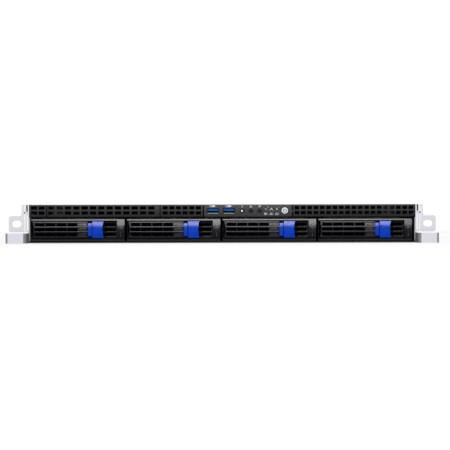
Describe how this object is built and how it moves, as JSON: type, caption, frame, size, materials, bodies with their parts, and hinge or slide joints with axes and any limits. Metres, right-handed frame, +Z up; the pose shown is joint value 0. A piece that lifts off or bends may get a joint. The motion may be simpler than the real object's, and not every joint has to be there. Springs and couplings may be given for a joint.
{
  "type": "1u rack server",
  "caption": "Flat rack-mount server with slotted silver ears, front drive trays with swing levers and blue latches, a vented front band, a control panel and rear power supplies.",
  "frame": {"origin": "midway between the two rack slots, on the rear face of the ears' tabs, where they seat on the rack", "axes": "+X to the right seen from the front, +Y to the rear along the depth, +Z up"},
  "size_m": [0.4826, 0.6968, 0.0434],
  "materials": {
    "black_steel": "satin black powder coat",
    "zinc_steel": "zinc plated",
    "silver_paint": "silver grey coat",
    "black_plastic": "fine grain",
    "panel_plastic": "charcoal, satin",
    "tray_black": "satin",
    "lever_black": "satin",
    "latch_blue": "gloss",
    "button_dark": "satin",
    "button_white": "gloss",
    "light_pipe": "clear, lit",
    "usb_steel": "bright",
    "usb_blue": "satin",
    "board_green": "solder mask",
    "drive_alu": "cast",
    "socket_black": "matt",
    "fan_black": "matt",
    "sink_alu": "bright",
    "duct_black": "matt",
    "port_steel": "bright",
    "psu_alu": "plain",
    "wire_steel": "bright",
    "psu_latch_green": "satin"
  },
  "bodies": {
    "chassis": {"chassis_pan": "zinc_steel", "rear_panel": "zinc_steel", "expansion_blank": "zinc_steel", "cage_shelf": "black_steel", "bay_dividers": "black_steel", "end_vent_panel": "black_plastic", "left_vent_panel": "black_plastic", "middle_vent_panel": "black_plastic", "control_panel": "panel_plastic", "right_vent_panel": "black_plastic", "left_ear": "silver_paint", "right_ear": "silver_paint", "case_screws": "zinc_steel", "front_cover": "zinc_steel", "usb_shells": "usb_steel", "usb_tongues": "usb_blue", "control_board": "board_green", "status_lights": "light_pipe", "backplane": "board_green", "drive_sockets": "socket_black", "fan_frames": "fan_black", "main_board": "board_green", "memory_modules": "board_green", "heatsinks": "sink_alu", "air_duct": "duct_black", "io_ports": "port_steel"},
    "top_cover": {"top_cover": "zinc_steel"},
    "cover_release": {"cover_release": "latch_blue"},
    "id_button": {"id_button": "button_dark"},
    "nmi_button": {"nmi_button": "button_dark"},
    "reset_button": {"reset_button": "button_dark"},
    "power_button": {"power_button": "button_white"},
    "tray_1": {"tray_1": "tray_black", "drive_1": "drive_alu"},
    "lever_1": {"lever_1": "lever_black"},
    "latch_1": {"latch_1": "latch_blue"},
    "fan_rotor_1": {"fan_rotor_1": "fan_black"},
    "tray_2": {"tray_2": "tray_black", "drive_2": "drive_alu"},
    "lever_2": {"lever_2": "lever_black"},
    "latch_2": {"latch_2": "latch_blue"},
    "fan_rotor_2": {"fan_rotor_2": "fan_black"},
    "tray_3": {"tray_3": "tray_black", "drive_3": "drive_alu"},
    "lever_3": {"lever_3": "lever_black"},
    "latch_3": {"latch_3": "latch_blue"},
    "fan_rotor_3": {"fan_rotor_3": "fan_black"},
    "tray_4": {"tray_4": "tray_black", "drive_4": "drive_alu"},
    "lever_4": {"lever_4": "lever_black"},
    "latch_4": {"latch_4": "latch_blue"},
    "fan_rotor_4": {"fan_rotor_4": "fan_black"},
    "psu_1": {"psu_case_1": "psu_alu", "psu_face_1": "black_steel", "psu_handle_1": "wire_steel"},
    "psu_latch_1": {"psu_latch_1": "psu_latch_green"},
    "psu_2": {"psu_case_2": "psu_alu", "psu_face_2": "black_steel", "psu_handle_2": "wire_steel"},
    "psu_latch_2": {"psu_latch_2": "psu_latch_green"}
  },
  "joints": [
    {"name": "tray_1_slide", "type": "slide", "parent": "chassis", "child": "tray_1", "axis": [0, -1, 0], "range_m": [0, 0.14]},
    {"name": "lever_1_hinge", "type": "hinge", "parent": "tray_1", "child": "lever_1", "pos_m": [-0.21255, -0.0037, -0.0065], "axis": [0, 0, -1], "range_deg": [0, 75]},
    {"name": "latch_1_slide", "type": "slide", "parent": "tray_1", "child": "latch_1", "axis": [1, 0, 0], "range_m": [0, 0.003], "stiffness_N_per_m": 300, "springref_m": -0.002},
    {"name": "tray_2_slide", "type": "slide", "parent": "chassis", "child": "tray_2", "axis": [0, -1, 0], "range_m": [0, 0.14]},
    {"name": "lever_2_hinge", "type": "hinge", "parent": "tray_2", "child": "lever_2", "pos_m": [-0.10455, -0.0037, -0.0065], "axis": [0, 0, -1], "range_deg": [0, 75]},
    {"name": "latch_2_slide", "type": "slide", "parent": "tray_2", "child": "latch_2", "axis": [1, 0, 0], "range_m": [0, 0.003], "stiffness_N_per_m": 300, "springref_m": -0.002},
    {"name": "tray_3_slide", "type": "slide", "parent": "chassis", "child": "tray_3", "axis": [0, -1, 0], "range_m": [0, 0.14]},
    {"name": "lever_3_hinge", "type": "hinge", "parent": "tray_3", "child": "lever_3", "pos_m": [0.00345, -0.0037, -0.0065], "axis": [0, 0, -1], "range_deg": [0, 75]},
    {"name": "latch_3_slide", "type": "slide", "parent": "tray_3", "child": "latch_3", "axis": [1, 0, 0], "range_m": [0, 0.003], "stiffness_N_per_m": 300, "springref_m": -0.002},
    {"name": "tray_4_slide", "type": "slide", "parent": "chassis", "child": "tray_4", "axis": [0, -1, 0], "range_m": [0, 0.14]},
    {"name": "lever_4_hinge", "type": "hinge", "parent": "tray_4", "child": "lever_4", "pos_m": [0.11145, -0.0037, -0.0065], "axis": [0, 0, -1], "range_deg": [0, 75]},
    {"name": "latch_4_slide", "type": "slide", "parent": "tray_4", "child": "latch_4", "axis": [1, 0, 0], "range_m": [0, 0.003], "stiffness_N_per_m": 300, "springref_m": -0.002},
    {"name": "id_button_press", "type": "slide", "parent": "chassis", "child": "id_button", "axis": [0, 1, 0], "range_m": [0, 0.0008], "stiffness_N_per_m": 400, "springref_m": -0.0015},
    {"name": "nmi_button_press", "type": "slide", "parent": "chassis", "child": "nmi_button", "axis": [0, 1, 0], "range_m": [0, 0.0008], "stiffness_N_per_m": 400, "springref_m": -0.0015},
    {"name": "reset_button_press", "type": "slide", "parent": "chassis", "child": "reset_button", "axis": [0, 1, 0], "range_m": [0, 0.0008], "stiffness_N_per_m": 400, "springref_m": -0.0015},
    {"name": "power_button_press", "type": "slide", "parent": "chassis", "child": "power_button", "axis": [0, 1, 0], "range_m": [0, 0.0008], "stiffness_N_per_m": 400, "springref_m": -0.0015},
    {"name": "fan_1_spin", "type": "hinge", "parent": "chassis", "child": "fan_rotor_1", "pos_m": [-0.16125, 0.21, -0.0004], "axis": [0, 1, 0], "continuous": true},
    {"name": "fan_2_spin", "type": "hinge", "parent": "chassis", "child": "fan_rotor_2", "pos_m": [-0.05375, 0.21, -0.0004], "axis": [0, 1, 0], "continuous": true},
    {"name": "fan_3_spin", "type": "hinge", "parent": "chassis", "child": "fan_rotor_3", "pos_m": [0.05375, 0.21, -0.0004], "axis": [0, 1, 0], "continuous": true},
    {"name": "fan_4_spin", "type": "hinge", "parent": "chassis", "child": "fan_rotor_4", "pos_m": [0.16125, 0.21, -0.0004], "axis": [0, 1, 0], "continuous": true},
    {"name": "top_cover_slide", "type": "slide", "parent": "chassis", "child": "top_cover", "axis": [0, 1, 0], "range_m": [0, 0.012]},
    {"name": "cover_release_press", "type": "slide", "parent": "top_cover", "child": "cover_release", "axis": [0, 0, -1], "range_m": [0, 0.0015], "stiffness_N_per_m": 400, "springref_m": -0.002},
    {"name": "psu_1_slide", "type": "slide", "parent": "chassis", "child": "psu_1", "axis": [0, 1, 0], "range_m": [0, 0.2]},
    {"name": "psu_latch_1_slide", "type": "slide", "parent": "psu_1", "child": "psu_latch_1", "axis": [-1, 0, 0], "range_m": [0, 0.0025], "stiffness_N_per_m": 400, "springref_m": -0.002},
    {"name": "psu_2_slide", "type": "slide", "parent": "chassis", "child": "psu_2", "axis": [0, 1, 0], "range_m": [0, 0.2]},
    {"name": "psu_latch_2_slide", "type": "slide", "parent": "psu_2", "child": "psu_latch_2", "axis": [-1, 0, 0], "range_m": [0, 0.0025], "stiffness_N_per_m": 400, "springref_m": -0.002}
  ]
}
